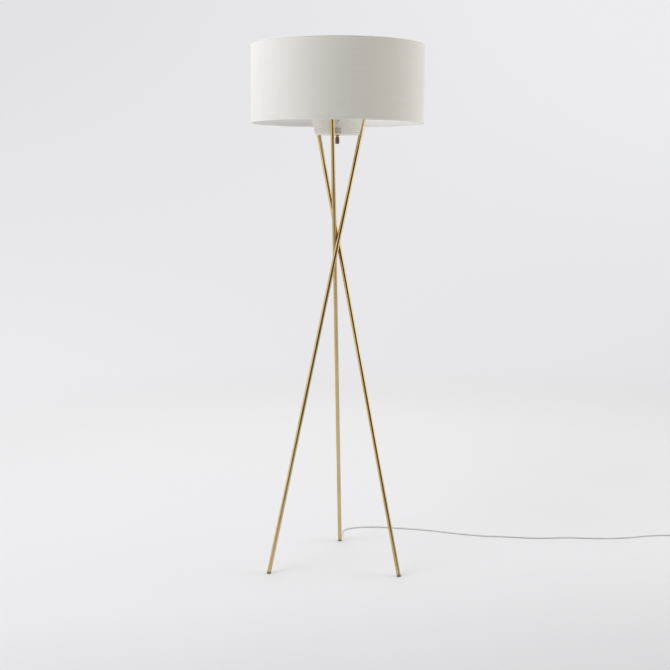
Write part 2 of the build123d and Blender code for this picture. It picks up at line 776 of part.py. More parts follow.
blade_thickness, blade_length, blade_width = 1.5, 16.0, 6.3
blade_spacing = 12.7
blade_hole_radius, blade_hole_reach = 1.6, 12.7
blade_front = relief_front - Vector(0, plug_body_length, 0)
blades = []
for side in (-1, 1):
    x = blade_front.X + side * blade_spacing / 2
    blade = Box(blade_thickness, blade_length, blade_width)
    blade = Pos(x, blade_front.Y - blade_length / 2, tail_height) * blade
    hole = Rot(0, 90, 0) * Cylinder(blade_hole_radius, 2 * blade_thickness + 1.0)
    blades.append(blade - Pos(x, blade_front.Y - blade_hole_reach, tail_height) * hole)
write("plug_blades", *blades)

# ---- Printed facts ----
route_length = floor_line.length
cord_section = pi * cord_radius ** 2
cord_total = route_length - (relief_end - relief_middle).length + coil_length + tail_length
floor_cord_ratio = floor_cord.volume / (cord_section * route_length)
leg_cord_ratio = written["leg_cord"] / (cord_section * inner_line.length)
bow_ratio = written["harp_bow"] / (pi * harp_wire ** 2 * bow_line.length)
print(f"waist offset {waist_offset:.3f}, lean {degrees(lean):.2f} degrees")
print(f"floor cord radii {[round(value, 1) for value in floor_radii]}")
print(f"floor cord volume over section x length {floor_cord_ratio:.4f}")
print(f"cord from its relief: {cord_total:.0f} mm, of which coil {coil_length:.0f} mm")
print(f"leg cord {inner_line.length:.0f} mm, volume over section x length {leg_cord_ratio:.4f}")
print(f"harp bow volume over section x length {bow_ratio:.4f}")
print(f"{len(written)} nodes")
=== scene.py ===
import bpy
import bmesh
from math import atan2, cos, pi, radians, sin
from mathutils import Matrix, Vector


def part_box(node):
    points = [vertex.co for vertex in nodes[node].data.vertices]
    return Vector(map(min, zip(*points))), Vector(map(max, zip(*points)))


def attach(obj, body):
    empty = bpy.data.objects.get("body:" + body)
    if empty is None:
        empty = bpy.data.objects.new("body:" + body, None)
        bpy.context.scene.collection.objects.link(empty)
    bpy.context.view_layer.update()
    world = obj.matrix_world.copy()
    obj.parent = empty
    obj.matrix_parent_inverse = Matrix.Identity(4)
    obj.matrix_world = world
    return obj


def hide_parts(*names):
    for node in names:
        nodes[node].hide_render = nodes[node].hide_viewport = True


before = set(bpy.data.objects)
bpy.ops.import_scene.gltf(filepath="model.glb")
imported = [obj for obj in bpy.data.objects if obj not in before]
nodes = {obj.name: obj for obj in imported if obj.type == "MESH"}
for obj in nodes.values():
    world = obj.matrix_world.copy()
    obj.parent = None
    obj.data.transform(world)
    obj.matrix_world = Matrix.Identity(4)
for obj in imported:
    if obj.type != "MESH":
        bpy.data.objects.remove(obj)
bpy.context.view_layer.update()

# Tripod floor lamp: brass tubes, a perforated cup, a drum shade and a cord on the floor.
# Metres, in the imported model's frame: Z is up, the floor is Z = 0, the back leg's foot is at +Y.

scene = bpy.context.scene


# ---- Camera ----
def aim(position, pitch, yaw, roll):
    """A camera's matrix: it looks along +Y, pitched down, turned and rolled, in degrees."""
    p, y, r = radians(pitch), radians(yaw), radians(roll)
    forward = Vector((sin(y) * cos(p), cos(y) * cos(p), -sin(p)))
    right = Vector((cos(y), -sin(y), 0.0))
    up = right.cross(forward)
    across = right * cos(r) + up * sin(r)
    upward = up * cos(r) - right * sin(r)
    turn = Matrix((across, upward, -forward)).transposed().to_4x4()
    return Matrix.Translation(position) @ turn


camera_data = bpy.data.cameras.new("camera")
camera_data.sensor_width = 36.0
camera_data.lens = 63.33
camera_data.clip_end = 60.0
camera = bpy.data.objects.new("camera", camera_data)
scene.collection.objects.link(camera)
camera.matrix_world = aim(Vector((0.0, -3.466, 1.157)), pitch=7.52, yaw=-0.08, roll=0.19)
scene.camera = camera
scene.view_settings.view_transform = "Standard"


# ---- Node trees ----
class Tree:
    """A node tree, with helpers that add a node, set and link it, and return what it puts out."""

    def __init__(self, tree):
        self.tree = tree

    def link(self, source, socket):
        self.tree.links.new(source, socket)

    def math(self, operation, first, second=None):
        """A Math node on sockets or numbers."""
        node = self.tree.nodes.new("ShaderNodeMath")
        node.operation = operation
        for socket, value in zip(node.inputs, (first, second)):
            if value is None:
                continue
            if isinstance(value, (int, float)):
                socket.default_value = value
            else:
                self.link(value, socket)
        return node.outputs["Value"]

    def vector_math(self, operation, vector, constant):
        """A Vector Math node that gives one number."""
        node = self.tree.nodes.new("ShaderNodeVectorMath")
        node.operation = operation
        node.inputs[1].default_value = constant
        self.link(vector, node.inputs[0])
        return node.outputs["Value"]

    def split(self, vector):
        """A vector's X, Y and Z."""
        node = self.tree.nodes.new("ShaderNodeSeparateXYZ")
        self.link(vector, node.inputs["Vector"])
        return node.outputs

    def spread(self, factor, low, high, to_low=0.0, to_high=1.0, easing="LINEAR"):
        """Maps a factor's range onto another, clamped."""
        node = self.tree.nodes.new("ShaderNodeMapRange")
        node.interpolation_type = easing
        ends = {"From Min": low, "From Max": high, "To Min": to_low, "To Max": to_high}
        for key, value in ends.items():
            node.inputs[key].default_value = value
        self.link(factor, node.inputs["Value"])
        return node.outputs["Result"]

    def ramp(self, factor, stops, easing="LINEAR"):
        """A colour ramp of (position, colour) stops."""
        node = self.tree.nodes.new("ShaderNodeValToRGB")
        node.color_ramp.interpolation = easing
        elements = node.color_ramp.elements
        while len(elements) < len(stops):
            elements.new(0.5)
        for element, (position, colour) in zip(elements, stops):
            element.position = position
            element.color = (*colour, 1.0)
        self.link(factor, node.inputs["Fac"])
        return node.outputs["Color"]


# ---- Materials ----
class Finish(Tree):
    """A node material: one Principled shader, and helpers for the patterns that feed it."""

    def __init__(self, name, colour, roughness, **sockets):
        self.made = bpy.data.materials.new(name)
        self.made.use_nodes = True
        super().__init__(self.made.node_tree)
        self.shader = self.tree.nodes["Principled BSDF"]
        self.shader.inputs["Base Color"].default_value = (*colour, 1.0)
        self.shader.inputs["Roughness"].default_value = roughness
        for key, value in sockets.items():
            self.shader.inputs[key.replace("_", " ")].default_value = value
        self.place = self.tree.nodes.new("ShaderNodeTexCoord").outputs["Object"]

    def turned(self, axis):
        """Turns the patterns that are added after it, so that their Z runs along an axis."""
        mapping = self.tree.nodes.new("ShaderNodeMapping")
        turn = axis.rotation_difference(Vector((0, 0, 1))).to_euler()
        mapping.inputs["Rotation"].default_value = turn
        self.link(self.place, mapping.inputs["Vector"])
        self.place = mapping.outputs["Vector"]

    def noise(self, scale, detail=2.0, rough=0.5):
        """Noise whose scale is per metre, on each axis."""
        scales = scale if hasattr(scale, "__len__") else (scale, scale, scale)
        mapping = self.tree.nodes.new("ShaderNodeMapping")
        mapping.inputs["Scale"].default_value = scales
        self.link(self.place, mapping.inputs["Vector"])
        texture = self.tree.nodes.new("ShaderNodeTexNoise")
        texture.inputs["Scale"].default_value = 1.0
        texture.inputs["Detail"].default_value = detail
        texture.inputs["Roughness"].default_value = rough
        self.link(mapping.outputs["Vector"], texture.inputs["Vector"])
        return texture.outputs["Fac"]

    def colours(self, factor, *stops):
        """Colours the surface along a ramp of (position, colour) stops."""
        self.link(self.ramp(factor, stops), self.shader.inputs["Base Color"])

    def rough(self, factor, low, high, span=(0.3, 0.7)):
        """Varies the roughness from low to high over a span of the factor."""
        self.link(self.spread(factor, *span, low, high), self.shader.inputs["Roughness"])

    def bump(self, height, distance, strength=1.0):
        """Adds relief, on top of any there is. The distance is in metres."""
        node = self.tree.nodes.new("ShaderNodeBump")
        node.inputs["Strength"].default_value = strength
        node.inputs["Distance"].default_value = distance
        self.link(height, node.inputs["Height"])
        before = self.shader.inputs["Normal"].links
        if before:
            self.link(before[0].from_socket, node.inputs["Normal"])
        self.link(node.outputs["Normal"], self.shader.inputs["Normal"])


def brass(name, axis=None):
    """Satin brass: fine streaks along the axis, soft handling marks and a little darker patina."""
    made = Finish(name, (0.62, 0.465, 0.225), 0.22, Metallic=1.0)
    if axis is not None:
        made.turned(axis)
    fine = made.noise((1400.0, 1400.0, 14.0), 3.0)
    patina = made.noise((22.0, 22.0, 9.0), 4.0, 0.6)
    made.colours(
        patina, (0.30, (0.55, 0.40, 0.18)), (0.52, (0.62, 0.465, 0.222)), (0.75, (0.67, 0.515, 0.262)))
    marks = made.math("ADD", made.math("MULTIPLY", fine, 0.6), made.math("MULTIPLY", patina, 0.4))
    made.rough(marks, 0.15, 0.26)
    made.bump(fine, 0.000012, 0.5)
    return made


def metal(name, dark, light, roughness, scale, relief):
    """A bare or plated metal with mottled colour and fine relief."""
    made = Finish(name, light, roughness[0], Metallic=1.0)
    grain = made.noise(scale, 4.0, 0.6)
    made.colours(grain, (0.30, dark), (0.70, light))
    made.rough(grain, *roughness)
    made.bump(made.noise(scale * 4, 2.0), relief, 0.4)
    return made


def moulded(name, dark, light, roughness, scale, relief):
    """A moulded plastic: faint mottling and a fine moulded skin."""
    made = Finish(name, light, roughness[0])
    cloud = made.noise(scale * 0.2, 3.0, 0.6)
    made.colours(cloud, (0.30, dark), (0.72, light))
    skin = made.noise(scale * 9, 2.0)
    both = made.math("ADD", made.math("MULTIPLY", cloud, 0.5), made.math("MULTIPLY", skin, 0.5))
    made.rough(both, *roughness)
    made.bump(skin, relief, 0.5)
    return made


def powder_coat(name):
    """Warm white powder coat with a fine orange-peel skin."""
    made = Finish(name, (0.78, 0.77, 0.70), 0.42, Coat_Weight=0.15)
    cloud = made.noise(16.0, 3.0)
    made.colours(cloud, (0.30, (0.83, 0.82, 0.75)), (0.70, (0.865, 0.855, 0.785)))
    peel = made.noise(1100.0, 2.0)
    made.rough(peel, 0.34, 0.50)
    made.bump(peel, 0.00003, 0.6)
    return made


def linen(name, radius):
    """Plain-woven linen on a drum about Z: crossing threads, slubs and a soft uneven white."""
    made = Finish(name, (0.86, 0.85, 0.82), 0.85, Sheen_Weight=0.02, Sheen_Roughness=0.6)
    made.shader.inputs["Specular IOR Level"].default_value = 0.2
    # The weave's sine waves are two threads long, a whole number of them around the drum.
    thread = 0.00056
    waves_around = round(2 * pi * radius / thread / 2)
    parts = made.split(made.place)
    azimuth = made.math("ARCTAN2", parts["Y"], parts["X"])
    around = made.math("MULTIPLY", azimuth, waves_around)
    wobble = made.noise((60.0, 60.0, 900.0), 2.0)
    upward = made.math("MULTIPLY", parts["Z"], 2 * pi / thread / 2)
    upward = made.math("ADD", upward, made.math("MULTIPLY", wobble, 2.2))
    warp, weft = made.math("SINE", around), made.math("SINE", upward)
    weave = made.math("MULTIPLY", warp, weft)
    weave = made.math("ADD", made.math("MULTIPLY", weave, 0.5), 0.5)
    along = made.noise((9.0, 9.0, 1300.0), 3.0, 0.65)
    down = made.noise((1200.0, 1200.0, 7.0), 3.0, 0.65)
    slub = made.math("MULTIPLY", made.math("ADD", along, down), 0.5)
    cloud = made.noise(5.0, 3.0)
    tone = made.math("ADD", made.math("MULTIPLY", slub, 0.75), made.math("MULTIPLY", cloud, 0.25))
    made.colours(
        tone, (0.36, (0.815, 0.80, 0.76)), (0.50, (0.872, 0.858, 0.82)), (0.64, (0.90, 0.888, 0.855)))
    made.rough(slub, 0.78, 0.95)
    made.bump(slub, 0.00022, 0.55)
    made.bump(weave, 0.00012, 0.35)
    return made


def clear_vinyl(name):
    """Clear vinyl over tinned strands: pale and glossy, with a fine grain and a slow cloud."""
    made = Finish(name, (0.72, 0.72, 0.70), 0.22, Coat_Weight=0.6, Coat_Roughness=0.12)
    made.shader.inputs["Specular IOR Level"].default_value = 0.55
    strands = made.noise(1800.0, 3.0, 0.6)
    cloud = made.noise(28.0, 3.0)
    tone = made.math("ADD", made.math("MULTIPLY", strands, 0.5), made.math("MULTIPLY", cloud, 0.5))
    made.colours(
        tone, (0.30, (0.665, 0.66, 0.675)), (0.50, (0.725, 0.72, 0.74)), (0.70, (0.785, 0.78, 0.80)))
    made.rough(cloud, 0.14, 0.26)
    made.bump(strands, 0.00002, 0.3)
    return made


def frosted_glass(name):
    """Inside-frosted glass over a soft white coating."""
    made = Finish(name, (0.88, 0.88, 0.86), 0.22, Coat_Weight=0.5, Coat_Roughness=0.05)
    powder = made.noise(60.0, 3.0, 0.5)
    made.colours(powder, (0.30, (0.86, 0.86, 0.84)), (0.70, (0.90, 0.90, 0.885)))
    made.rough(powder, 0.16, 0.32)
    made.bump(made.noise(2200.0, 2.0), 0.000012, 0.4)
    return made


finishes = {
    "satin_brass": brass("satin_brass"),
    "dark_brass": metal(
        "dark_brass", (0.135, 0.112, 0.080), (0.290, 0.242, 0.180), (0.42, 0.60), 420.0, 0.00003),
    # The braze's near-black tone is partly its own oxide and partly painted shade for the crossing
    # between the rods.
    "braze": metal("braze", (0.05, 0.036, 0.02), (0.17, 0.125, 0.07), (0.40, 0.58), 500.0, 0.00012),
    "white_metal": powder_coat("white_metal"),
    "steel": metal(
        "steel", (0.50, 0.50, 0.49), (0.68, 0.68, 0.67), (0.24, 0.40), 180.0, 0.00002),
    "cloth": linen("cloth", 0.25),
    "styrene": moulded(
        "styrene", (0.89, 0.89, 0.885), (0.925, 0.925, 0.92), (0.34, 0.50), 90.0, 0.00002),
    "foot_plastic": moulded(
        "foot_plastic", (0.20, 0.145, 0.075), (0.29, 0.215, 0.115), (0.42, 0.58), 420.0, 0.00004),
    "phenolic": moulded(
        "phenolic", (0.022, 0.014, 0.010), (0.055, 0.034, 0.022), (0.26, 0.42), 300.0, 0.00003),
    "card": moulded("card", (0.34, 0.24, 0.145), (0.47, 0.35, 0.22), (0.80, 0.95), 900.0, 0.00006),
    "bulb_alloy": metal(
        "bulb_alloy", (0.62, 0.62, 0.61), (0.80, 0.80, 0.79), (0.20, 0.34), 300.0, 0.00002),
    "copper_wire": metal(
        "copper_wire", (0.62, 0.34, 0.21), (0.83, 0.50, 0.34), (0.24, 0.40), 500.0, 0.00002),
    "frosted_glass": frosted_glass("frosted_glass"),
    "clear_pvc": clear_vinyl("clear_pvc"),
    "lead_pvc": moulded(
        "lead_pvc", (0.62, 0.62, 0.60), (0.76, 0.76, 0.74), (0.30, 0.44), 500.0, 0.00002),
}
for node in nodes.values():
    for slot in node.material_slots:
        slot.material = finishes[slot.material.name.split(".")[0]].made

# ---- The legs' axes, as in the CAD model ----
# A leg's azimuth is its foot's, in degrees.
waist_height = 0.9734
waist_offset = 0.007031
lean = radians(12.84)
leg_azimuths = {"back_leg": 84.9, "right_leg": -35.1, "left_leg": 204.9}


def outward(azimuth):
    """The level direction at an azimuth."""
    return Vector((cos(radians(azimuth)), sin(radians(azimuth)), 0.0))


def leg_direction(azimuth):
    """A leg's direction, from its foot up."""
    return Vector((0, 0, cos(lean))) - outward(azimuth) * sin(lean)


def leg_point(azimuth, z):
    """The point of a leg's axis at a height."""
    at_waist = outward(azimuth + 90) * waist_offset + Vector((0, 0, waist_height))
    return at_waist + leg_direction(azimuth) * ((z - waist_height) / cos(lean))


# The drawn tubes' streaks run along each leg.
for name, azimuth in leg_azimuths.items():
    nodes[name].material_slots[0].material = brass(f"brass_{name}", leg_direction(azimuth)).made


# ---- Pieces in mesh code ----
def piece(name, points, faces, finish, body, replaced):
    """A new smooth piece from points and faces, riding on a body and standing for CAD nodes."""
    mesh = bpy.data.meshes.new(name)
    mesh.from_pydata(points, [], faces)
    work = bmesh.new()
    work.from_mesh(mesh)
    bmesh.ops.remove_doubles(work, verts=work.verts, dist=1e-7)
    bmesh.ops.recalc_face_normals(work, faces=work.faces)
    work.to_mesh(mesh)
    work.free()
    mesh.validate()
    mesh.shade_smooth()
    made = bpy.data.objects.new(name, mesh)
    scene.collection.objects.link(made)
    mesh.materials.append(finishes[finish].made)
    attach(made, body)
    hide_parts(*replaced)
    return made


def crease(made, angle):
    """Keeps edges sharper than an angle in degrees crisp under smooth shading."""
    mesh = made.data
    work = bmesh.new()
    work.from_mesh(mesh)
    for edge in work.edges:
        edge.smooth = len(edge.link_faces) == 2 and edge.calc_face_angle() < radians(angle)
    work.to_mesh(mesh)
    work.free()


def ring_faces(first, second, count):
    """Quads between two closed rings of vertices, by their first indices."""
    return [
        (first + k, first + (k + 1) % count, second + (k + 1) % count, second + k)
        for k in range(count)
    ]


def turns(count):
    """Even steps of a full turn, in radians."""
    return [2 * pi * k / count for k in range(count)]


def lathe(name, outline, angles, finish, body, replaced, reach=None):
    """Turns a closed outline of (radius, height) about Z, with a column of points at each angle.

    reach(angle, radius, height) gives another radius where it is set.
    """
    count = len(angles)
    points = []
    for radius, height in outline:
        for angle in angles:
            out = reach(angle, radius, height) if reach else radius
            points.append((out * cos(angle), out * sin(angle), height))
    faces = []
    rows = len(outline)
    for row in range(rows):
        faces += ring_faces(row * count, (row + 1) % rows * count, count)
    return piece(name, points, faces, finish, body, replaced)


def arc(centre, radius, start, end, steps):
    """Points (radius, height) on an arc, with its angles in degrees."""
    angles = [radians(start + (end - start) * k / steps) for k in range(steps + 1)]
    return [(centre[0] + radius * cos(a), centre[1] + radius * sin(a)) for a in angles]


def between(stages, at):
    """Values on the straight lines between stages of (place, value, ...)."""
    for (start, *first), (end, *second) in zip(stages, stages[1:]):
        if start <= at <= end:
            share = (at - start) / (end - start)
            return [a + (b - a) * share for a, b in zip(first, second)]


def loft(name, centre, along, across, sections, finish, body, replaced, count=32, power=2.0):
    """A closed form along an axis. Each section is (distance, half width, half thickness).

    A section is an ellipse at a power of 2, and nearer a rectangle above it.
    """
    along, across = along.normalized(), across.normalized()
    upward = along.cross(across)
    points, faces = [], []
    for distance, half_width, half_thickness in sections:
        for k in range(count):
            turn = 2 * pi * k / count
            c, s = cos(turn), sin(turn)
            x = half_width * (1 if c >= 0 else -1) * abs(c) ** (2 / power)
            y = half_thickness * (1 if s >= 0 else -1) * abs(s) ** (2 / power)
            points.append(centre + along * distance + across * x + upward * y)
    for row in range(len(sections) - 1):
        faces += ring_faces(row * count, (row + 1) * count, count)
    faces.append(tuple(range(count)))
    last = (len(sections) - 1) * count
    faces.append(tuple(range(last, last + count)))
    return piece(name, points, faces, finish, body, replaced)


# ---- Cord on the floor: from the back leg, over the floor, a neat coil and the plug ----
cord_radius = 0.00225
on_floor = 0.0023
exit_height = 0.046
exit_drop = radians(40.0)
exit_corner = leg_point(leg_azimuths["back_leg"], exit_height)
exit_way = outward(leg_azimuths["back_leg"]) * cos(exit_drop) - Vector((0, 0, sin(exit_drop)))
coil_centre = Vector((1.1720, 0.2619, 0.0))
outer_turn, inner_turn = 0.0273, 0.0227
layer = 0.0046
coil_turns = 4.25
steps_per_turn = 16

# The cord starts inside its strain relief, 20.5 mm from the leg's axis, and is straight to its end.
route = [exit_corner + exit_way * 0.0205, exit_corner + exit_way * 0.0350]
route += [Vector(point) for point in (
    (0.0170, 0.2560, 0.0095),
    (0.0190, 0.2810, 0.0036),
    (0.0205, 0.3080, on_floor),
    (0.0260, 0.3340, on_floor),
    (0.0440, 0.3525, on_floor),
    (0.0710, 0.3635, on_floor),
    (0.1040, 0.3695, on_floor),
    (0.1460, 0.3690, on_floor),
    (0.1980, 0.3575, on_floor),
    (0.2540, 0.3475, on_floor),
    (0.3090, 0.3350, on_floor),
    (0.3610, 0.3125, on_floor),
    (0.4160, 0.2920, on_floor),
    (0.4700, 0.2750, on_floor),
    (0.5270, 0.2675, on_floor),
    (0.5870, 0.2605, on_floor),
    (0.6440, 0.2505, on_floor),
    (0.7000, 0.2530, on_floor),
    (0.7570, 0.2605, on_floor),
    (0.8140, 0.2525, on_floor),
    (0.8680, 0.2505, on_floor),
    (0.9230, 0.2545, on_floor),
    (0.9760, 0.2670, on_floor),
    (1.0300, 0.2845, on_floor),
    (1.0850, 0.2885, on_floor),
    (1.1320, 0.2875, on_floor),
)]


def coil_spot(turn, radius, height):
    """A point of the coil, its turn counted clockwise from +Y."""
    azimuth = pi / 2 - 2 * pi * turn
    spot = Vector((radius * cos(azimuth), radius * sin(azimuth), height))
    return Vector((coil_centre.x, coil_centre.y, 0)) + spot


# Lower layer: an outer turn, then an inner one. Upper layer: an inner turn, then an outer one.
coil_stages = [
    (0.0, outer_turn, on_floor),
    (0.90, outer_turn, on_floor),
    (1.10, inner_turn, on_floor),
    (1.95, inner_turn, on_floor),
    (2.15, inner_turn, on_floor + layer),
    (3.00, inner_turn, on_floor + layer),
    (3.20, outer_turn, on_floor + layer),
    (coil_turns, outer_turn, on_floor + layer),
]
for step in range(int(coil_turns * steps_per_turn) + 1):
    turn = step / steps_per_turn
    route.append(coil_spot(turn, *between(coil_stages, turn)))
# Then straight on to the plug, at the upper layer's height.
tail_x = coil_centre.x + outer_turn
tail_height = on_floor + layer
route += [
    Vector((tail_x, coil_centre.y - 0.012, tail_height)),
    Vector((tail_x, coil_centre.y - 0.034, tail_height)),
]

cord_data = bpy.data.curves.new("floor_lead", "CURVE")
cord_data.dimensions = "3D"
cord_data.resolution_u = 10
cord_data.bevel_depth = cord_radius
cord_data.bevel_resolution = 6
cord_data.use_fill_caps = True
spline = cord_data.splines.new("NURBS")
spline.points.add(len(route) - 1)
for point, spot in zip(spline.points, route):
    point.co = (*spot, 1.0)
spline.order_u = 3
spline.use_endpoint_u = True
floor_lead = bpy.data.objects.new("floor_lead", cord_data)
scene.collection.objects.link(floor_lead)
cord_data.materials.append(finishes["clear_pvc"].made)
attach(floor_lead, "stand")
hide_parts("floor_cord", "cord_coil")


# ---- Strain reliefs: a ribbed tapered sleeve at the leg, and one at the plug ----
def ribbed(start, length, wide, narrow, ribs, depth):
    """Sections of a tapered sleeve with plain ends and a groove after each rib."""
    plain = 0.0012
    sections = [(start, wide * 0.90, wide * 0.90), (start + plain / 2, wide, wide)]
    pitch = (length - 0.004) / ribs
    for rib in range(ribs):
        low = start + plain + rib * pitch
        for share, cut in ((0.0, 0.0), (0.52, 0.0), (0.62, depth), (0.88, depth), (1.0, 0.0)):
            at = low + share * pitch
            radius = wide + (narrow - wide) * (at - start) / length - cut
            sections.append((at, radius, radius))
    sections += [
        (start + length - plain, narrow, narrow),
        (start + length - 0.0004, narrow * 0.96, narrow * 0.96),
        (start + length, narrow * 0.86, narrow * 0.86),
    ]
    return sections


leg_relief = loft(
    "leg_relief", exit_corner, exit_way, Vector((1, 0, 0)),
    ribbed(start=0.0062, length=0.0268, wide=0.0044, narrow=0.0029, ribs=5, depth=0.0005),
    "clear_pvc", "stand", ("cord_relief",))

plug_low, plug_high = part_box("plug_body")
plug_middle = (plug_low + plug_high) / 2
relief_low, relief_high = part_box("plug_relief")
relief_back = Vector((plug_middle.x, relief_high.y, plug_middle.z))
plug_way = Vector((0, -1, 0))
relief_length = relief_high.y - relief_low.y
plug_ribs = ribbed(start=0.0, length=relief_length, wide=0.0052, narrow=0.0033, ribs=5, depth=0.0006)
# The wide end is at the plug, so the sections run the other way.
plug_sleeve = loft(
    "plug_sleeve", relief_back, plug_way, Vector((1, 0, 0)),
    [(relief_length - d, w, t) for d, w, t in reversed(plug_ribs)],
    "clear_pvc", "stand", ("plug_relief",))

# The plug's grip: it widens from the cord to its face, with finger grooves on both broad faces.
# Its outline is (place along it, half width, half thickness), as shares of the CAD box.
half_width = (plug_high.x - plug_low.x) / 2
half_thickness = (plug_high.z - plug_low.z) / 2
plug_length = plug_high.y - plug_low.y
plug_outline = [
    (0.00, 0.44, 0.74), (0.03, 0.50, 0.80), (0.10, 0.62, 0.88), (0.20, 0.76, 0.95), (0.30, 0.86, 0.99),
    (0.42, 0.91, 1.00), (0.56, 0.94, 1.00), (0.72, 0.97, 1.00), (0.86, 0.99, 1.00), (0.95, 1.00, 0.99),
    (0.98, 0.97, 0.96), (1.00, 0.92, 0.90),
]
grooves = [0.34, 0.43, 0.52, 0.61, 0.70]
groove_half = 0.026
groove_depth = 0.085


def plug_section(share):
    """The grip's half width and half thickness, at a share of its length."""
    width, thickness = between(plug_outline, share)
    for groove in grooves:
        near = abs(share - groove) / groove_half
        if near < 1:
            thickness -= groove_depth * (1 - near * near)
    return width * half_width, thickness * half_thickness


plug_steps = 96
plug_sections = [
    (plug_length * k / plug_steps, *plug_section(k / plug_steps)) for k in range(plug_steps + 1)]
plug_grip = loft(
    "plug_grip", Vector((plug_middle.x, plug_high.y, plug_middle.z)), plug_way, Vector((1, 0, 0)),
    plug_sections, "clear_pvc", "stand", ("plug_body",), count=48, power=3.4)


# ---- Perforated cup: a spun cone with staggered round holes, a flat floor and a turned-in lip ----
cup_low, cup_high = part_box("perforated_cup")
cup_bottom, cup_top = cup_low.z, cup_high.z
cup_slope = 0.2267
cup_bottom_radius = cup_high.x - cup_slope * (cup_top - cup_bottom)
cup_wall = 0.001
cup_columns = 76
cup_rows = 13
hole_radius = 0.0017
hole_sides = 16
band_low, band_high = cup_bottom + 0.0030, cup_top - 0.0032
around = 4 * cup_columns  # points in a ring


def cup_radius(z):
    """The cone's outer radius at a height."""
    return cup_bottom_radius + cup_slope * (z - cup_bottom)


class Shell:
    """Points and faces of the cup, gathered ring by ring. A ring goes by its first point's index."""

    def __init__(self):
        self.points = []
        self.faces = []

    def spot(self, radius, angle, z):
        """Adds a point and returns its index."""
        self.points.append((radius * cos(angle), radius * sin(angle), z))
        return len(self.points) - 1

    def ring(self, radius, z):
        """Adds a ring and returns it."""
        first = len(self.points)
        for k in range(around):
            self.spot(radius, 2 * pi * k / around, z)
        return first

    def join(self, first, second):
        """Adds the faces between two rings."""
        self.faces += ring_faces(first, second, around)

    def rings(self, last, rows):
        """Adds a ring for each (radius, height), joined to the one before, and returns the last."""
        for radius, z in rows:
            here = self.ring(radius, z)
            self.join(last, here)
            last = here
        return last


# No holes where the legs' screws hold the cup.
screw_height = 1.336
screw_clear = 0.006
screw_spots = [leg_point(azimuth, screw_height) for azimuth in leg_azimuths.values()]


def by_a_screw(angle, z):
    """Whether a spot on the cone is too near a screw to be a hole."""
    for spot in screw_spots:
        apart = (angle - atan2(spot.y, spot.x) + pi) % (2 * pi) - pi
        if abs(apart) * cup_radius(z) < screw_clear and abs(z - screw_height) < screw_clear:
            return True
    return False


def holed_band(shell, inset):
    """One skin of the perforated band, in staggered cells with a hole in each.

    Returns its lowest and highest ring, and each hole's points.
    """
    heights = [band_low + (band_high - band_low) * k / cup_rows for k in range(cup_rows + 1)]
    rings = [shell.ring(cup_radius(z) - inset, z) for z in heights]
    holes = {}
    for row in range(cup_rows):
        low, high = heights[row], heights[row + 1]
        shift = 2 if row % 2 else 0
        # The points on each side of a cell, between its two rings.
        sides = []
        for column in range(cup_columns):
            angle = 2 * pi * (4 * column + shift) / around
            marks = []
            for quarter in (1, 2, 3):
                z = low + (high - low) * quarter / 4
                marks.append(shell.spot(cup_radius(z) - inset, angle, z))
            sides.append(marks)
        for column in range(cup_columns):
            base = 4 * column + shift
            below = [rings[row] + (base + k) % around for k in range(5)]
            above = [rings[row + 1] + (base + k) % around for k in range(5)]
            # The cell's outline, from its lower left corner as seen from outside. The hole's
            # points start at the same corner and run the same way, so that they pair up.
            edge = below + sides[(column + 1) % cup_columns] + above[::-1] + sides[column][::-1]
            angle, z = 2 * pi * (base + 2) / around, (low + high) / 2
            if by_a_screw(angle, z):
                middle = shell.spot(cup_radius(z) - inset, angle, z)
                for k in range(hole_sides):
                    shell.faces.append((edge[k], edge[(k + 1) % hole_sides], middle))
                continue
            hole = []
            for k in range(hole_sides):
                turn = radians(-135.0 + 360.0 * k / hole_sides)
                high_by, across = hole_radius * sin(turn), hole_radius * cos(turn)
                radius = cup_radius(z + high_by) - inset
                hole.append(shell.spot(radius, angle + across / cup_radius(z), z + high_by))
            for k in range(hole_sides):
                after = (k + 1) % hole_sides
                shell.faces.append((edge[k], edge[after], hole[after], hole[k]))
            holes[(row, column)] = hole
    return rings[0], rings[-1], holes


shell = Shell()
outer_low, outer_high, outer_holes = holed_band(shell, 0.0)
inner_low, inner_high, inner_holes = holed_band(shell, cup_wall)
for key, hole in outer_holes.items():
    inner = inner_holes[key]
    for k in range(hole_sides):
        after = (k + 1) % hole_sides
        shell.faces.append((hole[k], hole[after], inner[after], inner[k]))
# The rest of the cup: from the switch's hole out and up to the outer skin, over the lip to the
# inner skin, and back over the floor's upper face to the switch's hole.
bushing_hole = 0.0051
floor_radii = (0.020, 0.042)
corner, inner_corner = 0.0022, 0.0014
lip_curl = 0.0011
lip_width = 0.0030
floor_top = cup_bottom + cup_wall
lip_under = cup_top - cup_wall
corner_radius = cup_radius(cup_bottom) - corner
lip_edge = cup_radius(cup_top) - lip_width
bottom_rows = [(radius, cup_bottom) for radius in (bushing_hole, bushing_hole + 0.004, *floor_radii)]
bottom_rows += arc((corner_radius + 0.0002, cup_bottom + corner), corner, -90, -8, 6)
top_rows = arc((cup_radius(cup_top) - lip_curl, cup_top - lip_curl), lip_curl, 8, 90, 5)
top_rows += [(lip_edge, cup_top), (lip_edge, lip_under)]
top_rows += [(cup_radius(lip_under) - cup_wall - 0.0003, lip_under)]
inner_rows = arc((corner_radius - 0.0002, cup_bottom + corner + 0.0004), inner_corner, -8, -90, 5)
inner_rows += [(radius, floor_top) for radius in (*floor_radii[::-1], bushing_hole)]
first_ring = shell.ring(*bottom_rows[0])
shell.join(shell.rings(first_ring, bottom_rows[1:]), outer_low)
shell.join(shell.rings(outer_high, top_rows), inner_high)
shell.join(shell.rings(inner_low, inner_rows), first_ring)
cup_shell = piece("cup_shell", shell.points, shell.faces, "white_metal", "stand", ("perforated_cup",))
crease(cup_shell, 40.0)


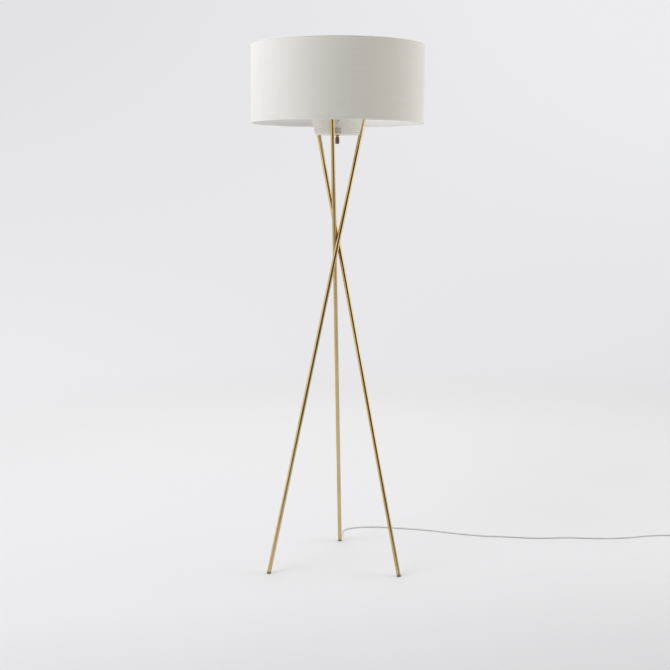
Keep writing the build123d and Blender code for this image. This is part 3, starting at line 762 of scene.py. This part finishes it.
# ---- Shade cloth: a drum with rolled edges, hems turned over the wires and a lapped seam ----
cloth_low, cloth_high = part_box("shade_cloth")
shade_bottom, shade_top = cloth_low.z, cloth_high.z
shade_radius = cloth_high.x
thickness = 0.0008
hem = 0.006
hem_inner = shade_radius - 0.0056
hem_outer = hem_inner + thickness
hem_curl = 0.0011
roll = 0.0017
roll_out = 0.0004
# Where the roll runs out into the wall: (depth below the wall's face, distance from the edge).
run_out = ((0.00035, 0.0040), (0.00020, 0.0046), (0.0, 0.0056))
inside_curve = 0.0022
wall_inner = shade_radius - thickness
wall_middle = (shade_top + shade_bottom) / 2
bead_radius = shade_radius + roll_out - roll
# The outer skin, from the lower hem's cut edge, around the lower roll and up the wall.
outline = [(hem_inner, shade_bottom + hem), (hem_inner, shade_bottom + 0.003)]
outline += arc((hem_inner + hem_curl, shade_bottom + hem_curl), hem_curl, 180, 270, 4)
outline += arc((bead_radius, shade_bottom + roll), roll, -90, 50, 10)
outline += [(shade_radius - dip, shade_bottom + up) for dip, up in run_out]
wall_rows = 14
wall_low, wall_high = shade_bottom + 0.010, shade_top - 0.010
for row in range(wall_rows + 1):
    outline.append((shade_radius, wall_low + (wall_high - wall_low) * row / wall_rows))
# Around the upper roll, to the upper hem's cut edge.
outline += [(shade_radius - dip, shade_top - down) for dip, down in reversed(run_out)]
outline += arc((bead_radius, shade_top - roll), roll, -50, 90, 10)
outline += arc((hem_inner + hem_curl, shade_top - hem_curl), hem_curl, 90, 180, 4)
outline += [(hem_inner, shade_top - 0.003), (hem_inner, shade_top - hem)]
# The inner skin, from the upper hem down to the lower one.
outline += [(hem_outer, shade_top - hem), (hem_outer, shade_top - inside_curve)]
outline += [(hem_outer + 0.0006, shade_top - thickness), (wall_inner - 0.0008, shade_top - thickness)]
outline += [(wall_inner, shade_top - inside_curve), (wall_inner, wall_middle)]
outline += [(wall_inner, shade_bottom + inside_curve), (wall_inner - 0.0008, shade_bottom + thickness)]
outline += [(hem_outer + 0.0006, shade_bottom + thickness), (hem_outer, shade_bottom + inside_curve)]
outline += [(hem_outer, shade_bottom + hem)]
# The seam is at the back. Its edges get columns of points of their own.
drum_columns = 288
seam_azimuth = pi / 2
seam_half = 0.0065 / shade_radius
seam_rise = 0.00045
seam_edge = 0.0009 / shade_radius
angles = [a for a in turns(drum_columns) if abs(a - seam_azimuth) > seam_half + 2 * seam_edge]
for side in (-1, 1):
    angles += [seam_azimuth + side * (seam_half + shift * seam_edge) for shift in (-1, 0, 1)]
angles += [seam_azimuth]
angles.sort()
skin_depth = 0.0006  # points nearer the outer face than this move with it


def drum(angle, radius, height):
    """The cloth's outer face: raised where the seam laps, and a very little uneven between."""
    out = radius
    if radius > shade_radius - skin_depth:
        away = abs(angle - seam_azimuth)
        out += seam_rise * min(1.0, max(0.0, (seam_half + seam_edge - away) / (2 * seam_edge)))
        out += 0.00012 * sin(3 * angle + 1.0) + 0.00006 * sin(7 * angle + 11.0 * height)
    return out


shade_linen = lathe("shade_linen", outline, angles, "cloth", "shade", ("shade_cloth",), reach=drum)
crease(shade_linen, 50.0)


# ---- Threaded metal: the bulb's cap and the lampholder's screw shell ----
def threaded(name, box, depth, finish, body, replaced):
    """A rolled-thread sleeve that fills a CAD box. Its outer and inner skins follow one helix."""
    low, high, radius = box[0].z, box[1].z, box[1].x
    wall = 0.0003
    pitch = 0.00363
    row_height = 0.0004
    fade_in = 0.0025
    columns = 72
    rows = int((high - low) / row_height)
    points = []
    for skin in (radius, radius - wall):
        for row in range(rows + 1):
            z = low + (high - low) * row / rows
            ends = min(1.0, (z - low) / fade_in, (high - z) / fade_in)
            for angle in turns(columns):
                wave = cos(2 * pi * z / pitch - angle)
                out = skin - depth * ends * (0.5 - 0.5 * wave)
                points.append((out * cos(angle), out * sin(angle), z))
    faces = []
    stride = (rows + 1) * columns
    for skin in (0, stride):
        for row in range(rows):
            first = skin + row * columns
            faces += ring_faces(first, first + columns, columns)
    faces += ring_faces(0, stride, columns)
    faces += ring_faces(rows * columns, stride + rows * columns, columns)
    crease(piece(name, points, faces, finish, body, replaced), 60.0)


threaded(
    "bulb_cap_threads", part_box("bulb_screw_cap"), 0.0006, "bulb_alloy", "bulb", ("bulb_screw_cap",))
threaded("socket_threads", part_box("screw_shell"), 0.0002, "bulb_alloy", "stand", ("screw_shell",))

# ---- Lampholder shell: drawn brass with two beads rolled inward ----
holder_low, holder_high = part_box("lampholder_shell")
holder_wall = 0.0005
bead_heights = (0.008, 0.034)
bead_half = 0.0016
bead_depth = 0.00045
holder_rows = 60


def beaded(radius):
    """The shell's skin, from bottom to top, with its beads."""
    skin = []
    for row in range(holder_rows + 1):
        z = holder_low.z + (holder_high.z - holder_low.z) * row / holder_rows
        bead = 0.0
        for height in bead_heights:
            near = abs(z - holder_low.z - height) / bead_half
            if near < 1:
                bead -= bead_depth * (1 - near * near)
        skin.append((radius + bead, z))
    return skin


holder_outline = beaded(holder_high.x) + beaded(holder_high.x - holder_wall)[::-1]
lathe("holder_shell", holder_outline, turns(96), "satin_brass", "stand", ("lampholder_shell",))

# ---- Floor: a wide disc ----
floor_radius = 16.0
floor_mesh = bpy.data.meshes.new("studio_floor")
floor_rings, floor_segments = 24, 96
floor_points = [(0.0, 0.0, 0.0)]
for ring in range(1, floor_rings + 1):
    radius = floor_radius * (ring / floor_rings) ** 2
    floor_points += [(radius * cos(a), radius * sin(a), 0.0) for a in turns(floor_segments)]
floor_faces = [(0, 1 + k, 1 + (k + 1) % floor_segments) for k in range(floor_segments)]
for ring in range(floor_rings - 1):
    floor_faces += ring_faces(1 + ring * floor_segments, 1 + (ring + 1) * floor_segments, floor_segments)
floor_mesh.from_pydata(floor_points, [], floor_faces)
studio_floor = bpy.data.objects.new("studio_floor", floor_mesh)
scene.collection.objects.link(studio_floor)
floor_paint_and_shade = Finish("floor_paint_and_painted_shade", (0.80, 0.80, 0.81), 0.75)
floor_paint_and_shade.shader.inputs["Specular IOR Level"].default_value = 0.15
# Painted shade: the floor's colour is darker toward the camera, and very slightly darker toward the
# right.
ground = floor_paint_and_shade.split(floor_paint_and_shade.place)
# Painted shade: the floor darkens toward the camera, where light falls off.
depth = floor_paint_and_shade.spread(ground["Y"], -1.1, 2.5, 0.0, 0.9)
# Painted shade: a slight darkening toward the right.
side = floor_paint_and_shade.math("MULTIPLY", ground["X"], -0.08)
cloud = floor_paint_and_shade.math("MULTIPLY", floor_paint_and_shade.noise(0.8, 3.0), 0.1)
# The ramp turns that painted shade into tones. The cloud is the paint's own slight unevenness.
floor_paint_and_shade.colours(
    floor_paint_and_shade.math("ADD", floor_paint_and_shade.math("ADD", depth, side), cloud),
    (0.0, (0.632, 0.635, 0.650)),
    (0.27, (0.780, 0.785, 0.803)),
    (0.45, (0.808, 0.813, 0.831)),
    (0.85, (0.835, 0.840, 0.858)))
floor_paint_and_shade.bump(floor_paint_and_shade.noise(300.0, 2.0), 0.00002, 0.2)
# Far from the lamp the floor fades into the background.
distance = floor_paint_and_shade.vector_math("DISTANCE", floor_paint_and_shade.place, (0.30, 0.50, 0.0))
fade = floor_paint_and_shade.spread(distance, 1.5, 3.6, easing="SMOOTHSTEP")
clear = floor_paint_and_shade.tree.nodes.new("ShaderNodeBsdfTransparent")
mixed = floor_paint_and_shade.tree.nodes.new("ShaderNodeMixShader")
floor_paint_and_shade.link(fade, mixed.inputs["Fac"])
floor_paint_and_shade.link(floor_paint_and_shade.shader.outputs["BSDF"], mixed.inputs[1])
floor_paint_and_shade.link(clear.outputs["BSDF"], mixed.inputs[2])
floor_paint_and_shade.link(mixed.outputs["Shader"], floor_paint_and_shade.tree.nodes["Material Output"].inputs["Surface"])
floor_mesh.materials.append(floor_paint_and_shade.made)

# ---- Light from all around, and the background ----
world = bpy.data.worlds.new("studio")
scene.world = world
world.use_nodes = True
studio = Tree(world.node_tree)
new_node = studio.tree.nodes.new
studio.tree.nodes.clear()
output = new_node("ShaderNodeOutputWorld")
direction = new_node("ShaderNodeTexCoord").outputs["Generated"]
# The light has a dark warm patch behind the camera and to its right. It is strongest at the
# sides, and a little weaker from the far side.
from_patch = studio.vector_math("DOT_PRODUCT", direction, (-0.24, 0.971, 0.0))
light_stops = (
    (0.04, (0.100, 0.083, 0.055)),
    (0.37, (0.95, 0.925, 0.85)),
    (0.62, (0.855, 0.862, 0.88)),
    (0.95, (0.70, 0.70, 0.708)),
)
light_colour = studio.ramp(studio.spread(from_patch, -1.0, 1.0), light_stops, "EASE")
light_side = new_node("ShaderNodeBackground")
studio.link(light_colour, light_side.inputs["Color"])
# The background is a little lighter on one side, and the lighter side changes with height.
parts = studio.split(direction)
slope = studio.math("MULTIPLY", parts["X"], studio.math("ADD", parts["Z"], 0.05))
grey = new_node("ShaderNodeMix")
grey.data_type = "RGBA"
grey.inputs["A"].default_value = (0.770, 0.770, 0.786, 1.0)
grey.inputs["B"].default_value = (0.842, 0.842, 0.858, 1.0)
studio.link(studio.spread(slope, -0.035, 0.035), grey.inputs["Factor"])
seen_side = new_node("ShaderNodeBackground")
studio.link(grey.outputs["Result"], seen_side.inputs["Color"])
# The background is what is seen, and the light is what falls on the lamp and shines in it.
path = new_node("ShaderNodeLightPath")
choice = new_node("ShaderNodeMixShader")
studio.link(path.outputs["Is Camera Ray"], choice.inputs["Fac"])
studio.link(light_side.outputs["Background"], choice.inputs[1])
studio.link(seen_side.outputs["Background"], choice.inputs[2])
studio.link(choice.outputs["Shader"], output.inputs["Surface"])


# ---- Soft boxes ----
def soft_light(name, position, target, size, power, colour):
    """A rectangular light that faces a target. The power is in watts."""
    data = bpy.data.lights.new(name, "AREA")
    data.shape = "RECTANGLE"
    data.size, data.size_y = size
    data.energy = power
    data.color = colour
    made = bpy.data.objects.new(name, data)
    made.location = position
    facing = Vector(target) - Vector(position)
    made.rotation_euler = facing.to_track_quat("-Z", "Y").to_euler()
    made.visible_camera = False
    scene.collection.objects.link(made)


soft_light("left_box", (-3.2, -0.9, 1.9), (0.0, 0.0, 1.1), (3.0, 3.4), 13.0, (0.94, 0.955, 1.08))
soft_light("high_box", (-1.9, -1.6, 3.7), (0.0, 0.0, 1.4), (1.8, 1.4), 37.0, (0.95, 0.965, 1.06))
soft_light("right_box", (3.45, -0.1, 1.8), (0.0, 0.0, 1.1), (2.4, 3.0), 32.0, (1.01, 0.98, 1.0))
soft_light("back_box", (-0.7, 2.9, 3.1), (-0.2, 0.9, 0.0), (3.0, 1.6), 17.0, (1.0, 1.0, 1.0))
